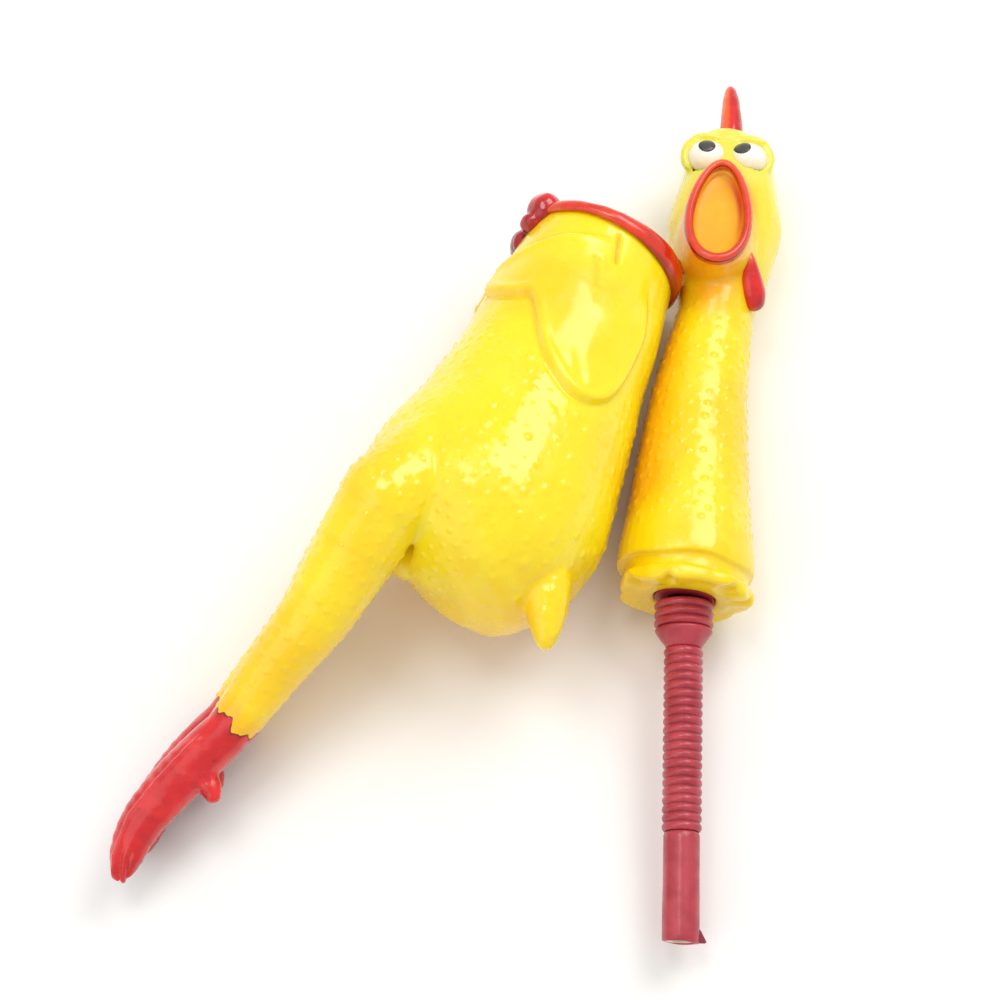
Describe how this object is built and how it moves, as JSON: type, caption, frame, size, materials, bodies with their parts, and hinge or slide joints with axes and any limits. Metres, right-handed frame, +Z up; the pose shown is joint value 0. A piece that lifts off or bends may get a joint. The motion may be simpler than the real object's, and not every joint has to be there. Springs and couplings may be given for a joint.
{
  "type": "rubber chicken",
  "caption": "Screaming rubber chicken toy, unplugged: hollow vinyl body with flexing legs, and a neck and head whose plug carries a bellows squeaker tube.",
  "frame": {"origin": "middle of the footprint's bounding box, on the table", "axes": "+Y from the feet and the reed end towards the comb, +Z up from the table"},
  "size_m": [0.1933, 0.269, 0.0673],
  "materials": {
    "vinyl_yellow": "glossy",
    "paint_red": "glossy",
    "beak_red": "glossy",
    "mouth_amber": "glossy",
    "eye_white": "glossy",
    "pupil_black": "glossy",
    "tube_red": "glossy",
    "reed_plastic": "satin",
    "reed_strip": "satin"
  },
  "bodies": {
    "body": {"body_shell": "vinyl_yellow", "socket_ring": "vinyl_yellow", "collar_band": "paint_red", "bow_knot": "paint_red", "bow_left_lobe": "paint_red", "bow_right_lobe": "paint_red", "left_wing": "vinyl_yellow", "right_wing": "vinyl_yellow"},
    "left_leg": {"left_leg": "vinyl_yellow", "left_foot": "paint_red"},
    "right_leg": {"right_leg": "vinyl_yellow", "right_foot": "paint_red"},
    "neck": {"neck_shell": "vinyl_yellow", "plug_rim": "vinyl_yellow", "comb": "paint_red", "beak_rim": "beak_red", "mouth_lining": "mouth_amber", "left_eye": "eye_white", "right_eye": "eye_white", "left_pupil": "pupil_black", "right_pupil": "pupil_black", "left_wattle": "paint_red", "right_wattle": "paint_red", "tube_flange": "tube_red", "wide_bellows": "tube_red"},
    "tube": {"funnel": "tube_red", "narrow_bellows": "tube_red"},
    "sleeve": {"reed_sleeve": "tube_red", "reed_plug": "reed_plastic", "reed_wedge": "reed_plastic"},
    "reed": {"reed_tongue": "reed_strip"}
  },
  "joints": [
    {"name": "left_leg_flex", "type": "hinge", "parent": "body", "child": "left_leg", "pos_m": [-0.02019, -0.0194, 0.05391], "axis": [0, 0, 1], "range_deg": [-10, 10], "stiffness_Nm_per_rad": 0.06},
    {"name": "right_leg_flex", "type": "hinge", "parent": "body", "child": "right_leg", "pos_m": [-0.0263, -0.01922, 0.02741], "axis": [0, 0, 1], "range_deg": [-10, 10], "stiffness_Nm_per_rad": 0.06},
    {"name": "neck_pull", "type": "slide", "parent": "body", "child": "neck", "axis": [1, 0, 0], "range_m": [0, 0.1]},
    {"name": "tube_sway", "type": "hinge", "parent": "neck", "child": "tube", "pos_m": [0.06369, -0.04166, 0.01895], "axis": [0, 0, 1], "range_deg": [-20, 20], "stiffness_Nm_per_rad": 0.02, "deforming": ["wide_bellows"]},
    {"name": "bellows_stretch", "type": "slide", "parent": "tube", "child": "sleeve", "axis": [-0.0313, -0.9964, -0.0785], "range_m": [-0.01, 0.015], "stiffness_N_per_m": 40, "deforming": ["narrow_bellows"]},
    {"name": "reed_flutter", "type": "hinge", "parent": "sleeve", "child": "reed", "pos_m": [0.06093, -0.12943, 0.01179], "axis": [0.9995, -0.0314, 0], "range_deg": [0, 6], "stiffness_Nm_per_rad": 0.002}
  ]
}
